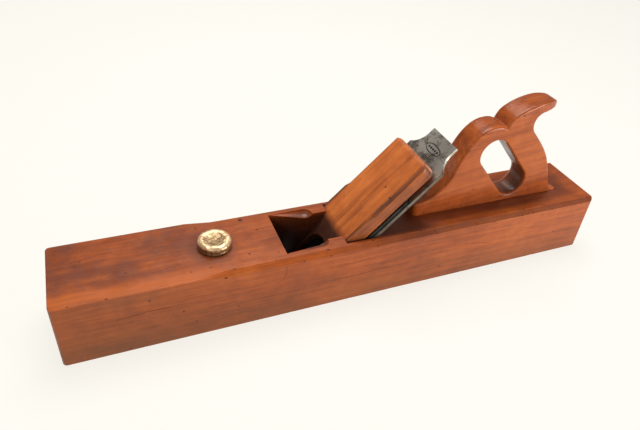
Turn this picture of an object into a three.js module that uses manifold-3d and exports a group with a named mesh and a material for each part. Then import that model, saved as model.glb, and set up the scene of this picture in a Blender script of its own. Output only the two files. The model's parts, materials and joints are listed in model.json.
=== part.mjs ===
// A wooden trying plane: beech stock, closed tote, forked wedge, double iron and brass strike button.
// Millimetres. +X runs from the toe to the heel and +Z up. The origin is under the middle of the sole.

import * as THREE from 'three';
import { ConvexGeometry } from 'three/addons/geometries/ConvexGeometry.js';
import { mergeVertices } from 'three/addons/utils/BufferGeometryUtils.js';
import Module from 'manifold-3d';

const wasm = await Module();
wasm.setup();

const degrees = Math.PI / 180;

// ---- driving sizes ----

const fitGap = 0.3; // left between any two pieces that touch
const beyond = 5; // how far a cutter runs past the surface that it cuts

const stockLength = 559;
const stockHeight = 68;
const cheekWall = 7.5; // wood left on each side of the iron
const heelRoom = 32.5; // from the back of the tote to the heel
const cornerRadius = 4;
const edgeBevel = 0.8;
const topChamfer = 4.5;
const chamferRunOut = 28;

const bedAngle = 45 * degrees;
const mouthOpening = 2; // from the cutting edge to the front of the mouth
const edgeRetraction = 0.5; // height of the cutting edge above the sole
const throatLean = 16; // how far the front of the throat leans towards the toe
const throatFrontInset = 2.2; // the throat is this much narrower at its front than the iron's channel
const cheekLength = 19; // length of each cheek ahead of the wedge, along the top
const abutmentStep = 11.5; // how far each abutment reaches over the wedge
const eyeRadius = 8; // scooped eye in front of each abutment
const eyeDepth = 4.8;
const eyeFromCheek = 4;
const eyeLead = 2; // the eye's point is this far behind the throat's front corner

const ironLength = 211.6;
const ironWidth = 64;
const ironEdgeThickness = 4.6;
const ironTopThickness = 2.8;
const ironSideGap = 0.5;
const ironBevelAngle = 27 * degrees;
const ironNeckWidth = 41.4;
const ironNeckStraight = 7.3;
const ironShoulderRadius = 20;
const ironSlotStart = 50;
const ironSlotLength = 88;
const ironSlotWidth = 10.6;
const ironKeyholeRadius = 11;

const capLength = 150;
const capThickness = 3.5;
const capSideInset = 1;
const capSetback = 1.5; // from the cutting edge to the cap iron's edge
const capNoseLength = 26;
const capNoseRise = 2.4; // the underside's hump, as its curve is drawn
const capNoseCrest = 4.2; // the front's hump
const capNoseShoulder = 2.4; // thickness just behind the edge
const capNoseShoulderAt = 4;
const capEdgeThickness = 0.7;
const capCornerCut = 9;

const screwFromEdge = 74; // from the cutting edge to the screw, along the iron
const screwRadius = 3.9;
const screwHeadRadius = 9.5;
const screwHeadHeight = 3.6;
const screwSlotWidth = 1.8;
const screwSlotDepth = 1.6;
const headGrooveRoom = 1.1;
const bossFlangeRadius = 8.5;
const bossFlangeHeight = 3.1;
const bossStemRadius = 6;
const turnedBevel = 0.5; // on the corners of the turned metal pieces
const screwEndInset = 0.4; // the screw ends this far inside the boss

const wedgeHeadThickness = 15.5;
const wedgeHeadLength = 101.8; // from the start of the taper to the top end
const wedgeTaper = 11 * degrees;
const wedgeTipLength = 59; // from the start of the taper down to the tips
const wedgeSideInset = 2;
const wedgeLead = 3; // the taper starts this far above the stock
const wedgeForkTop = 36; // from the tips to the top of the fork
const wedgeChamfer = 3;
const wedgeChamferStop = 34; // from the start of the taper to the end of the long chamfers
const wedgeChamferRunOut = 7;
const wedgeCornerRadius = 8;
const wedgeEndDrop = 4.6; // the rounded top end falls this far below the front
const wedgeEndRun = 5.5; // and takes this much of the wedge's length
const wedgeBackBevel = 1.1;
const wedgeBossRoom = 1;

const toteLength = 185;
const toteDrawnLength = 185; // the tote's side view below is drawn at this length, then stretched to toteLength
const toteThickness = 26;
const toteSetback = 46.5; // from the back of the bed opening to the nose of the tote
const toteTenon = 12;
const toteEdge = 2.2; // rounding of the long edges
const toteNoseRadius = 6.5;
const toteNoseHeight = 14.5;
const toteHoleRadius = 16; // of the round ends, at mid thickness
const toteHoleTop = new THREE.Vector2( 85.5, 60.4 );
const toteHoleFoot = new THREE.Vector2( 118, 22.4 );
const toteHoleFlare = 1.75; // how much wider the hole is at each face
const toteHoleFlareDepth = 5;
const toteLobeTop = new THREE.Vector2( 80, 92.4 );
const toteCrease = new THREE.Vector2( 92.3, 89 ); // the sharp dip between the front lobe and the horn
const hornTop = new THREE.Vector2( 141, 112.6 );
const hornTaperStart = 118;
const hornTipHalfWidth = 8;
const hornTipRadius = 3.2;
const hornTip = new THREE.Vector2( 149.8, 106.2 );
const toteThroatTop = new THREE.Vector2( 129.5, 79.5 ); // where the web of the hand rests
const toteBackFoot = new THREE.Vector2( 163, 33 );
const toteCurveSteps = 12; // points on each curve of the side view

const buttonFromMouth = 84.5; // from the bed's foot to the strike button
const buttonRadius = 15.6;
const buttonHeight = 9.3;
const buttonRim = 4.2;
const buttonDish = 1.6;
const buttonDishRadius = 9.6;
const buttonShankRadius = 7;
const buttonShankLength = 25;
const buttonShankLead = 1; // bevel that starts the shank in its hole
const buttonRimFlatness = 0.75; // the rim's rounding is this much lower than it is wide
const chamferFromButton = 4; // the long chamfers start this far behind the button

// ---- places worked out from the sizes ----

const channelWidth = ironWidth + 2 * ironSideGap;
const stockWidth = channelWidth + 2 * cheekWall;
const heelX = stockLength / 2;
const toteRearX = heelX - heelRoom;
const toteFrontX = toteRearX - toteLength;
const bedTopX = toteFrontX - toteSetback;
const toteStretch = toteLength / toteDrawnLength;
const bedFootX = bedTopX - stockHeight / Math.tan( bedAngle );
const buttonX = bedFootX - buttonFromMouth;

const ironTaper = Math.atan( ( ironEdgeThickness - ironTopThickness ) / ironLength );
const faceAngle = bedAngle - ironTaper;

// The face frame lies on the iron's front: its X climbs the iron and its Z leaves the wood.
const faceHeight = ironEdgeThickness + fitGap; // of the iron's front above the bed, at its foot
const faceOriginX = bedFootX - faceHeight * Math.sin( bedAngle );
const faceOriginZ = faceHeight * Math.cos( bedAngle );
const edgeAlong = ( edgeRetraction - faceOriginZ ) / Math.sin( faceAngle );
const ironTopAlong = edgeAlong + ironLength;
const screwAlong = edgeAlong + screwFromEdge;

const capBack = fitGap;
const capFront = capBack + capThickness;
const capEdgeAlong = edgeAlong + capSetback;
const capTopAlong = capEdgeAlong + capLength;
const wedgeBack = capFront + fitGap;
const wedgeFront = wedgeBack + wedgeHeadThickness;
const taperTopAlong = alongAtHeight( stockHeight, wedgeFront ) + wedgeLead;
const wedgeTopAlong = taperTopAlong + wedgeHeadLength;
const wedgeTipAlong = taperTopAlong - wedgeTipLength;
const wedgeTipFront = wedgeFront - wedgeTipLength * Math.tan( wedgeTaper );
const wedgeHalfWidth = ironWidth / 2 - wedgeSideInset;
const throatHalfWidth = channelWidth / 2 - abutmentStep;
const throatFrontHalfWidth = channelWidth / 2 - throatFrontInset;

const mouthFrontX = facePoint( edgeAlong, 0 ).x - mouthOpening;
const throatFrontX = mouthFrontX - throatLean;
const wedgeTopX = facePoint( alongAtHeight( stockHeight, wedgeFront ), wedgeFront ).x;
const cheekFrontX = wedgeTopX - cheekLength;

// Distance up the iron at which something standing off its face reaches a height.
function alongAtHeight( height, off ) {

	return ( height - faceOriginZ - off * Math.cos( faceAngle ) ) / Math.sin( faceAngle );

}

// A place in the face frame, as X and height.
function facePoint( along, off ) {

	return new THREE.Vector2(
		faceOriginX + along * Math.cos( faceAngle ) - off * Math.sin( faceAngle ),
		faceOriginZ + along * Math.sin( faceAngle ) + off * Math.cos( faceAngle )
	);

}

// A place in the bed frame, as X and height.
function bedPoint( along, off ) {

	return new THREE.Vector2(
		bedFootX + along * Math.cos( bedAngle ) - off * Math.sin( bedAngle ),
		along * Math.sin( bedAngle ) + off * Math.cos( bedAngle )
	);

}

// ---- shape helpers ----

function solidOf( geometry ) {

	const bare = geometry.clone();
	bare.deleteAttribute( 'normal' );
	bare.deleteAttribute( 'uv' );
	const merged = mergeVertices( bare );
	return new wasm.Manifold( new wasm.Mesh( {
		numProp: 3,
		vertProperties: new Float32Array( merged.attributes.position.array ),
		triVerts: new Uint32Array( merged.index.array ),
	} ) );

}

function geometryOf( solid ) {

	const mesh = solid.getMesh();
	const geometry = new THREE.BufferGeometry();
	geometry.setAttribute( 'position', new THREE.BufferAttribute( mesh.vertProperties, 3 ) );
	geometry.setIndex( new THREE.BufferAttribute( mesh.triVerts, 1 ) );
	geometry.computeVertexNormals();
	return geometry;

}

function outline( points ) {

	return new THREE.Shape( points.map( ( [ x, y ] ) => new THREE.Vector2( x, y ) ) );

}

function rectangle( fromX, toX, fromY, toY ) {

	return outline( [ [ fromX, fromY ], [ toX, fromY ], [ toX, toY ], [ fromX, toY ] ] );

}

// A flat outline raised along Z.
function plate( shape, fromZ, toZ, curveSegments = 6 ) {

	const options = { depth: toZ - fromZ, bevelEnabled: false, curveSegments };
	return solidOf( new THREE.ExtrudeGeometry( shape, options ).translate( 0, 0, fromZ ) );

}

// A side view, with its heights as Y, made as wide as asked across the plane.
function sideSlab( shape, width, bevel = 0, curveSegments = 6 ) {

	const options = {
		depth: width - 2 * bevel,
		curveSegments,
		bevelEnabled: bevel > 0,
		bevelSize: bevel,
		bevelThickness: bevel,
		bevelOffset: -bevel,
		bevelSegments: 4,
	};
	const geometry = new THREE.ExtrudeGeometry( shape, options ).translate( 0, 0, bevel - width / 2 );
	return solidOf( geometry.rotateX( Math.PI / 2 ) );

}

function hull( points ) {

	return solidOf( new ConvexGeometry( points.map( ( [ x, y, z ] ) => new THREE.Vector3( x, y, z ) ) ) );

}

// A turned solid about Z, from a profile of [radius, height] pairs that starts and ends on the axis.
function turned( profile, segments = 48 ) {

	const points = profile.map( ( [ radius, height ] ) => new THREE.Vector2( radius, height ) );
	return new THREE.LatheGeometry( points, segments ).rotateX( Math.PI / 2 );

}

function roundBar( radius, fromZ, toZ, x = 0, segments = 48 ) {

	const profile = [ [ 0, fromZ ], [ radius, fromZ ], [ radius, toZ ], [ 0, toZ ] ];
	return solidOf( turned( profile, segments ).translate( x, 0, 0 ) );

}

function piece( name, solid, material ) {

	const mesh = new THREE.Mesh( geometryOf( solid ), material );
	mesh.name = name;
	return mesh;

}

// ---- materials ----

function varnishedBeech( colour ) {

	return new THREE.MeshStandardMaterial( { color: colour, roughness: 0.42, metalness: 0 } );

}

function metal( colour, roughness ) {

	return new THREE.MeshStandardMaterial( { color: colour, roughness, metalness: 1 } );

}

// ---- stock ----

function stockBlock() {

	const x = stockLength / 2 - edgeBevel;
	const y = stockWidth / 2 - edgeBevel;
	const r = cornerRadius - edgeBevel;
	const plan = new THREE.Shape();
	plan.moveTo( -x + r, -y );
	plan.lineTo( x - r, -y );
	plan.absarc( x - r, -y + r, r, -Math.PI / 2, 0 );
	plan.absarc( x - r, y - r, r, 0, Math.PI / 2 );
	plan.absarc( -x + r, y - r, r, Math.PI / 2, Math.PI );
	plan.absarc( -x + r, -y + r, r, Math.PI, 1.5 * Math.PI );
	const options = {
		depth: stockHeight - 2 * edgeBevel,
		curveSegments: 4,
		bevelSize: edgeBevel,
		bevelThickness: edgeBevel,
		bevelSegments: 2,
	};
	return solidOf( new THREE.ExtrudeGeometry( plan, options ).translate( 0, 0, edgeBevel ) );

}

// The long chamfer on one top edge, with a run-out towards the toe.
function longChamfer( side ) {

	const edgeY = side * stockWidth / 2;
	const startX = buttonX + chamferFromButton;
	const endX = heelX + beyond;
	const section = ( x ) => [
		[ x, edgeY - side * topChamfer, stockHeight ],
		[ x, edgeY, stockHeight - topChamfer ],
		[ x, edgeY + side * beyond, stockHeight - topChamfer + beyond ],
		[ x, edgeY - side * topChamfer + side * beyond, stockHeight + beyond ],
	];
	const runOut = [ [ startX - chamferRunOut, edgeY, stockHeight ] ];
	return hull( [ ...runOut, ...section( startX ), ...section( endX ) ] );

}

// The channel that holds the irons and the wedge, open at the mouth and at the top.
function ironChannel() {

	const slope = Math.tan( wedgeTaper );
	const topAlong = taperTopAlong + beyond * 4;
	const lowAlong = wedgeTipAlong - beyond;
	const abutment = ( along ) => facePoint( along, wedgeFront + fitGap + ( along - taperTopAlong ) * slope );
	const bedReach = stockHeight / Math.sin( bedAngle ) + beyond * 2;
	const side = new THREE.Shape( [
		bedPoint( -beyond, 0 ),
		bedPoint( bedReach, 0 ),
		new THREE.Vector2( bedPoint( bedReach, 0 ).x, abutment( topAlong ).y ),
		abutment( topAlong ),
		abutment( lowAlong ),
		new THREE.Vector2( mouthFrontX, 0 ),
		new THREE.Vector2( mouthFrontX, -beyond ),
	] );
	return sideSlab( side, channelWidth );

}

// The open throat ahead of the abutments, narrowing from its front to the cheeks.
function throat() {

	const backX = bedTopX;
	const frontY = throatFrontHalfWidth;
	const cheekY = throatHalfWidth;
	const leanPast = throatLean * beyond / stockHeight;
	const flare = ( frontY - cheekY ) * leanPast / ( cheekFrontX - throatFrontX );
	const plan = outline( [
		[ throatFrontX - leanPast, -frontY - flare ],
		[ cheekFrontX, -cheekY ],
		[ backX, -cheekY ],
		[ backX, cheekY ],
		[ cheekFrontX, cheekY ],
		[ throatFrontX - leanPast, frontY + flare ],
	] );
	const side = outline( [
		[ mouthFrontX, 0 ],
		[ bedFootX, 0 ],
		[ backX, stockHeight ],
		[ backX, stockHeight + beyond ],
		[ throatFrontX - leanPast, stockHeight + beyond ],
	] );
	return plate( plan, -beyond, stockHeight + 2 * beyond ).intersect( sideSlab( side, stockWidth ) );

}

// A scooped eye: a teardrop from near the throat's front corner, ending round against the cheek.
function eye( side ) {

	const eyeX = cheekFrontX - eyeFromCheek;
	const eyeY = throatFrontHalfWidth - eyeRadius;
	const eyeRun = eyeX - throatFrontX - eyeLead;
	const reach = Math.hypot( eyeRun, eyeRadius );
	const swing = Math.atan2( eyeRadius, eyeRun );
	const profile = [ [ 0, -reach ] ];
	const steps = 12;
	for ( let i = 0; i <= steps; i ++ ) {

		const turn = ( Math.PI / 2 + swing ) * ( 1 - i / steps );
		profile.push( [ eyeRadius * Math.sin( turn ), eyeRadius * Math.cos( turn ) ] );

	}

	const shape = turned( profile, 32 ).rotateY( Math.PI / 2 ).rotateZ( -side * swing );
	shape.scale( 1, 1, eyeDepth / eyeRadius );
	return solidOf( shape.translate( eyeX, side * eyeY, stockHeight ) );

}

// The groove in the bed that the cap screw's head slides up.
function headGroove() {

	const thicknessHere = ironEdgeThickness - screwFromEdge * Math.tan( ironTaper );
	const depth = fitGap + screwHeadHeight + headGrooveRoom + ironEdgeThickness - thicknessHere;
	const halfWidth = screwHeadRadius + headGrooveRoom;
	const foot = screwAlong - halfWidth;
	const reach = stockHeight / Math.sin( bedAngle ) + beyond * 2;
	const side = new THREE.Shape( [
		bedPoint( foot, -depth ),
		bedPoint( reach, -depth ),
		bedPoint( reach, beyond / 2 ),
		bedPoint( foot, beyond / 2 ),
	] );
	return sideSlab( side, 2 * halfWidth );

}

function stock() {

	const mortiseDepth = toteTenon + fitGap;
	const mortise = plate( toteFootprint( fitGap ), stockHeight - mortiseDepth, stockHeight + beyond );
	const shankFoot = stockHeight - buttonShankLength - fitGap;
	const shankHole = roundBar( buttonShankRadius + fitGap, shankFoot, stockHeight + beyond, buttonX );
	const cuts = [ ironChannel(), throat(), headGroove(), mortise, shankHole ];
	for ( const side of [ -1, 1 ] ) cuts.push( longChamfer( side ), eye( side ) );
	const body = cuts.reduce( ( wood, cut ) => wood.subtract( cut ), stockBlock() );
	return piece( 'stock', body, varnishedBeech( 0xa8592f ) );

}

// ---- tote ----

// The tote seen from above, grown by a clearance: square at the back and round at the nose.
function toteFootprint( clearance ) {

	const y = toteThickness / 2 + clearance;
	const front = toteFrontX - clearance;
	const rear = toteRearX + clearance;
	const r = toteNoseRadius + clearance;
	const plan = new THREE.Shape();
	plan.moveTo( front + r, -y );
	plan.lineTo( rear, -y );
	plan.lineTo( rear, y );
	plan.lineTo( front + r, y );
	plan.absarc( front + r, y - r, r, Math.PI / 2, Math.PI );
	plan.absarc( front + r, -y + r, r, Math.PI, 1.5 * Math.PI );
	return plan;

}

// The side view: nose, sweep, front lobe, crease, horn, back and foot.
function toteSide() {

	const noseZ = toteNoseHeight;
	const noseCorner = 3.3;
	const tipTop = 55 * degrees;
	const tipUnder = -79 * degrees;
	const tipTopX = hornTip.x + hornTipRadius * Math.cos( tipTop );
	const tipTopZ = hornTip.y + hornTipRadius * Math.sin( tipTop );
	const side = new THREE.Shape();
	side.moveTo( 0, -toteTenon );
	side.lineTo( 0, noseZ - noseCorner );
	side.quadraticCurveTo( 0, noseZ, noseCorner, noseZ );
	side.bezierCurveTo( 15, noseZ + 1, 34.5, 26, 41, 45 );
	side.bezierCurveTo( 46, 63, 56, toteLobeTop.y, toteLobeTop.x, toteLobeTop.y );
	side.quadraticCurveTo( 89, toteLobeTop.y, toteCrease.x, toteCrease.y );
	side.quadraticCurveTo( 94.5, 97.6, 101, 101.8 );
	side.bezierCurveTo( 112, 109, 127, hornTop.y, hornTop.x, hornTop.y );
	side.quadraticCurveTo( 149, hornTop.y, tipTopX, tipTopZ );
	side.absarc( hornTip.x, hornTip.y, hornTipRadius, tipTop, tipUnder, true );
	side.lineTo( 133.5, 100.9 );
	side.bezierCurveTo( 124.5, 98.6, 122.6, 87, toteThroatTop.x, toteThroatTop.y );
	side.bezierCurveTo( 144, 64, 156, 52, toteBackFoot.x, toteBackFoot.y );
	side.quadraticCurveTo( 168, 22, 172.5, 8 );
	side.quadraticCurveTo( 175, 1.5, toteDrawnLength, 1 );
	side.lineTo( toteDrawnLength, -toteTenon );
	const points = side.getPoints( toteCurveSteps );
	return new THREE.Shape( points.map( ( point ) => new THREE.Vector2( point.x * toteStretch, point.y ) ) );

}

// The finger hole: a slot with round ends, leaning back, whose edges are rounded over at each face.
function fingerHole() {

	const fall = toteHoleFoot.y - toteHoleTop.y;
	const lean = Math.atan2( fall, ( toteHoleFoot.x - toteHoleTop.x ) * toteStretch );
	const endSteps = 14;
	const level = ( y, radius ) => {

		const points = [];
		for ( const [ centre, turn ] of [ [ toteHoleTop, 0.5 ], [ toteHoleFoot, 1.5 ] ] ) {

			for ( let i = 0; i <= endSteps; i ++ ) {

				const angle = lean + Math.PI * ( turn + i / endSteps );
				const x = centre.x * toteStretch + radius * Math.cos( angle );
				points.push( [ x, y, centre.y + radius * Math.sin( angle ) ] );

			}

		}

		return points;

	};

	const face = toteThickness / 2;
	const flareStart = face - toteHoleFlareDepth;
	const flareSteps = 4;
	let hole = hull( [ ...level( -flareStart, toteHoleRadius ), ...level( flareStart, toteHoleRadius ) ] );
	for ( const side of [ -1, 1 ] ) {

		let lower = level( side * flareStart, toteHoleRadius );
		for ( let i = 1; i <= flareSteps; i ++ ) {

			const turn = 0.5 * Math.PI * i / flareSteps;
			const y = flareStart + toteHoleFlareDepth * Math.sin( turn );
			const upper = level( side * y, toteHoleRadius + toteHoleFlare * ( 1 - Math.cos( turn ) ) );
			hole = hole.add( hull( [ ...lower, ...upper ] ) );
			lower = upper;

		}

		const outside = level( side * ( face + beyond ), toteHoleRadius + toteHoleFlare );
		hole = hole.add( hull( [ ...lower, ...outside ] ) );

	}

	return hole;

}

// What is cut from one side of the horn so that it narrows to its tip.
function hornTaperCut( side ) {

	const outer = side * toteThickness;
	const widest = side * toteThickness / 2;
	const tip = side * hornTipHalfWidth;
	const startX = hornTaperStart * toteStretch;
	const tipX = hornTip.x * toteStretch;
	const tipEndX = tipX + hornTipRadius;
	const run = tipX - startX;
	const cut = new THREE.Shape();
	cut.moveTo( startX, widest );
	cut.bezierCurveTo( startX + 0.4 * run, widest, startX + 0.7 * run, tip * 1.4, tipX - 2, tip );
	cut.quadraticCurveTo( tipEndX + 0.5, tip * 0.7, tipEndX + 1.5, 0 );
	cut.lineTo( tipEndX + beyond, 0 );
	cut.lineTo( tipEndX + beyond, outer );
	cut.lineTo( startX, outer );
	return plate( cut, toteCrease.y, hornTop.y + beyond, 12 );

}

function tote() {

	const place = new THREE.Vector3( toteFrontX, 0, stockHeight );
	let handle = sideSlab( toteSide(), toteThickness, toteEdge ).subtract( fingerHole() );
	for ( const side of [ -1, 1 ] ) handle = handle.subtract( hornTaperCut( side ) );
	const footprint = plate( toteFootprint( 0 ), -toteTenon - beyond, stockHeight * 2 );
	const shifted = solidOf( geometryOf( footprint ).translate( -place.x, 0, 0 ) );
	const mesh = piece( 'tote', handle.intersect( shifted ), varnishedBeech( 0xb0602f ) );
	mesh.position.copy( place );
	return mesh;

}

// ---- pieces on the bed, all in the face frame ----

// The iron from above: straight sides, hollow shoulders and a narrow neck.
function ironPlan() {

	const half = ironWidth / 2;
	const neck = ironNeckWidth / 2;
	const arcAlong = ironTopAlong - ironNeckStraight;
	const arcY = neck + ironShoulderRadius;
	const startTurn = Math.asin( ( arcY - half ) / ironShoulderRadius );
	const plan = new THREE.Shape();
	plan.moveTo( edgeAlong - beyond, half );
	plan.lineTo( edgeAlong - beyond, -half );
	plan.absarc( arcAlong, -arcY, ironShoulderRadius, Math.PI - startTurn, Math.PI / 2, true );
	plan.lineTo( ironTopAlong, -neck );
	plan.lineTo( ironTopAlong, neck );
	plan.absarc( arcAlong, arcY, ironShoulderRadius, -Math.PI / 2, -Math.PI + startTurn, true );
	return plan;

}

// The long slot with the round keyhole that the screw's head passes through.
function ironSlot() {

	const half = ironSlotWidth / 2;
	const from = edgeAlong + ironSlotStart;
	const slot = new THREE.Shape();
	slot.absarc( from + half, 0, half, Math.PI / 2, 1.5 * Math.PI );
	slot.lineTo( from + ironSlotLength, -half );
	slot.lineTo( from + ironSlotLength, half );
	const bar = plate( slot, -2 * ironEdgeThickness, ironEdgeThickness );
	const keyholeX = from + ironSlotLength;
	return bar.add( roundBar( ironKeyholeRadius, -2 * ironEdgeThickness, ironEdgeThickness, keyholeX ) );

}

function cuttingIron() {

	const bevelRun = ironEdgeThickness / Math.tan( ironBevelAngle );
	const side = outline( [
		[ edgeAlong, 0 ],
		[ edgeAlong + bevelRun, -ironEdgeThickness + bevelRun * Math.tan( ironTaper ) ],
		[ ironTopAlong, -ironTopThickness ],
		[ ironTopAlong, 0 ],
	] );
	const blade = sideSlab( side, ironWidth + 2 * beyond );
	const plan = plate( ironPlan(), -2 * ironEdgeThickness, ironEdgeThickness );
	return piece( 'cutting_iron', blade.intersect( plan ).subtract( ironSlot() ), metal( 0x8b887c, 0.45 ) );

}

// The cap iron: flat on the cutting iron, with a humped nose that comes down close to the edge.
function capIron() {

	const humpAlong = capEdgeAlong + capNoseLength / 2;
	const flatAlong = capEdgeAlong + capNoseLength;
	const side = new THREE.Shape();
	side.moveTo( capEdgeAlong, capBack );
	side.quadraticCurveTo( humpAlong, capBack + capNoseRise, flatAlong, capBack );
	side.lineTo( capTopAlong, capBack );
	side.lineTo( capTopAlong, capFront );
	side.lineTo( flatAlong, capFront );
	side.quadraticCurveTo( humpAlong, capNoseCrest, capEdgeAlong + capNoseShoulderAt, capNoseShoulder );
	side.lineTo( capEdgeAlong, capBack + capEdgeThickness );
	const half = ironWidth / 2 - capSideInset;
	const plan = outline( [
		[ capEdgeAlong - beyond, -half ],
		[ capTopAlong - capCornerCut, -half ],
		[ capTopAlong, -half + capCornerCut ],
		[ capTopAlong, half - capCornerCut ],
		[ capTopAlong - capCornerCut, half ],
		[ capEdgeAlong - beyond, half ],
	] );
	const stemHole = roundBar( bossStemRadius + fitGap, -beyond, 2 * beyond, screwAlong );
	const body = sideSlab( side, ironWidth, 0, 5 ).intersect( plate( plan, -beyond, 2 * beyond ) );
	return piece( 'cap_iron', body.subtract( stemHole ), metal( 0x3c3a38, 0.5 ) );

}

function capBoss() {

	const under = capFront + fitGap;
	const top = under + bossFlangeHeight;
	const inner = screwRadius + fitGap;
	const body = turned( [
		[ inner, capBack ],
		[ bossStemRadius, capBack ],
		[ bossStemRadius, under ],
		[ bossFlangeRadius, under ],
		[ bossFlangeRadius, top - turnedBevel ],
		[ bossFlangeRadius - turnedBevel, top ],
		[ inner, top ],
		[ inner, capBack ],
	] );
	return piece( 'cap_boss', solidOf( body.translate( screwAlong, 0, 0 ) ), metal( 0xb08d4a, 0.35 ) );

}

function capScrew() {

	const thicknessHere = ironEdgeThickness - screwFromEdge * Math.tan( ironTaper );
	const headTop = -thicknessHere - fitGap;
	const headBack = headTop - screwHeadHeight;
	const shankEnd = capFront + fitGap + bossFlangeHeight - screwEndInset;
	const body = turned( [
		[ 0, headBack ],
		[ screwHeadRadius - turnedBevel, headBack ],
		[ screwHeadRadius, headBack + turnedBevel ],
		[ screwHeadRadius, headTop ],
		[ screwRadius, headTop ],
		[ screwRadius, shankEnd - turnedBevel ],
		[ screwRadius - turnedBevel, shankEnd ],
		[ 0, shankEnd ],
	] );
	const slotHalf = screwSlotWidth / 2;
	const slot = rectangle( -slotHalf, slotHalf, -screwHeadRadius - beyond, screwHeadRadius + beyond );
	const slotCut = plate( slot, headBack - beyond, headBack + screwSlotDepth );
	const screw = solidOf( body ).subtract( slotCut );
	const mesh = piece( 'cap_screw', screw, metal( 0x6d6a64, 0.4 ) );
	mesh.position.x = screwAlong;
	return mesh;

}

// The fork's opening, round at its top, through which the shavings rise.
function forkOpening() {

	const half = throatHalfWidth;
	const archAlong = wedgeTipAlong + wedgeForkTop - half;
	const arch = new THREE.Shape();
	arch.moveTo( wedgeTipAlong - beyond, -half );
	arch.lineTo( archAlong, -half );
	arch.absarc( archAlong, 0, half, -Math.PI / 2, Math.PI / 2 );
	arch.lineTo( wedgeTipAlong - beyond, half );
	return plate( arch, -beyond, wedgeFront + beyond, 16 );

}

// The channel under the wedge that clears the boss on the cap iron.
function bossGroove() {

	const half = bossFlangeRadius + wedgeBossRoom;
	const roof = capFront + fitGap + bossFlangeHeight + wedgeBossRoom;
	const groove = new THREE.Shape();
	groove.moveTo( wedgeTipAlong - beyond, -half );
	groove.lineTo( screwAlong, -half );
	groove.absarc( screwAlong, 0, half, -Math.PI / 2, Math.PI / 2 );
	groove.lineTo( wedgeTipAlong - beyond, half );
	return plate( groove, -beyond, roof, 16 );

}

// One stopped chamfer along the wedge's front edge, from the top end down.
function wedgeChamferCut( side ) {

	const edgeY = side * wedgeHalfWidth;
	const stopAlong = taperTopAlong + wedgeChamferStop;
	const section = ( along ) => [
		[ along, edgeY - side * wedgeChamfer, wedgeFront ],
		[ along, edgeY, wedgeFront - wedgeChamfer ],
		[ along, edgeY + side * beyond, wedgeFront - wedgeChamfer + beyond ],
		[ along, edgeY - side * wedgeChamfer + side * beyond, wedgeFront + beyond ],
	];
	const stop = [ [ stopAlong - wedgeChamferRunOut, edgeY, wedgeFront ] ];
	return hull( [ ...stop, ...section( stopAlong ), ...section( wedgeTopAlong + beyond ) ] );

}

function wedge() {

	const side = new THREE.Shape();
	side.moveTo( wedgeTipAlong, wedgeBack );
	side.lineTo( wedgeTopAlong - wedgeBackBevel, wedgeBack );
	side.lineTo( wedgeTopAlong, wedgeBack + wedgeBackBevel );
	side.lineTo( wedgeTopAlong, wedgeFront - wedgeEndDrop );
	side.quadraticCurveTo( wedgeTopAlong, wedgeFront, wedgeTopAlong - wedgeEndRun, wedgeFront );
	side.lineTo( taperTopAlong, wedgeFront );
	side.lineTo( wedgeTipAlong, wedgeTipFront );
	const half = wedgeHalfWidth;
	const r = wedgeCornerRadius;
	const plan = new THREE.Shape();
	plan.moveTo( wedgeTipAlong - beyond, half );
	plan.lineTo( wedgeTipAlong - beyond, -half );
	plan.absarc( wedgeTopAlong - r, -half + r, r, -Math.PI / 2, 0 );
	plan.absarc( wedgeTopAlong - r, half - r, r, 0, Math.PI / 2 );
	let body = sideSlab( side, ironWidth ).intersect( plate( plan, 0, wedgeFront + beyond ) );
	body = body.subtract( forkOpening() ).subtract( bossGroove() );
	for ( const edge of [ -1, 1 ] ) body = body.subtract( wedgeChamferCut( edge ) );
	return piece( 'wedge', body, varnishedBeech( 0xaa5c30 ) );

}

function faceFrame() {

	const frame = new THREE.Group();
	frame.position.set( faceOriginX, 0, faceOriginZ );
	frame.rotation.y = -faceAngle;
	frame.add( cuttingIron(), capIron(), capBoss(), capScrew(), wedge() );
	return frame;

}

// ---- strike button ----

function strikeButton() {

	const shoulder = fitGap;
	const rimSteps = 8;
	const profile = [
		[ 0, -buttonShankLength ],
		[ buttonShankRadius - buttonShankLead, -buttonShankLength ],
		[ buttonShankRadius, -buttonShankLength + buttonShankLead ],
		[ buttonShankRadius, shoulder ],
		[ buttonRadius - turnedBevel, shoulder ],
		[ buttonRadius, shoulder + turnedBevel ],
	];
	for ( let i = 0; i <= rimSteps; i ++ ) {

		const turn = 0.5 * Math.PI * i / rimSteps;
		const radius = buttonRadius - buttonRim * ( 1 - Math.cos( turn ) );
		const height = buttonHeight - buttonRimFlatness * buttonRim * ( 1 - Math.sin( turn ) );
		profile.push( [ radius, height ] );

	}

	const dishSteps = 5;
	for ( let i = 1; i <= dishSteps; i ++ ) {

		const radius = buttonDishRadius * ( 1 - i / dishSteps );
		const depth = buttonDish * ( 1 - ( radius / ( buttonRadius - buttonRim ) ) ** 2 );
		profile.push( [ radius, buttonHeight - depth ] );

	}

	const mesh = piece( 'strike_button', solidOf( turned( profile ) ), metal( 0xd9bf86, 0.35 ) );
	mesh.position.set( buttonX, 0, stockHeight );
	return mesh;

}

// ---- assembly ----

const plane = new THREE.Group();
plane.add( stock(), tote(), faceFrame(), strikeButton() );

export default plane;
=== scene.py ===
import json
import math

import bmesh
import bpy
from mathutils import Euler, Matrix, Vector


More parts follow.
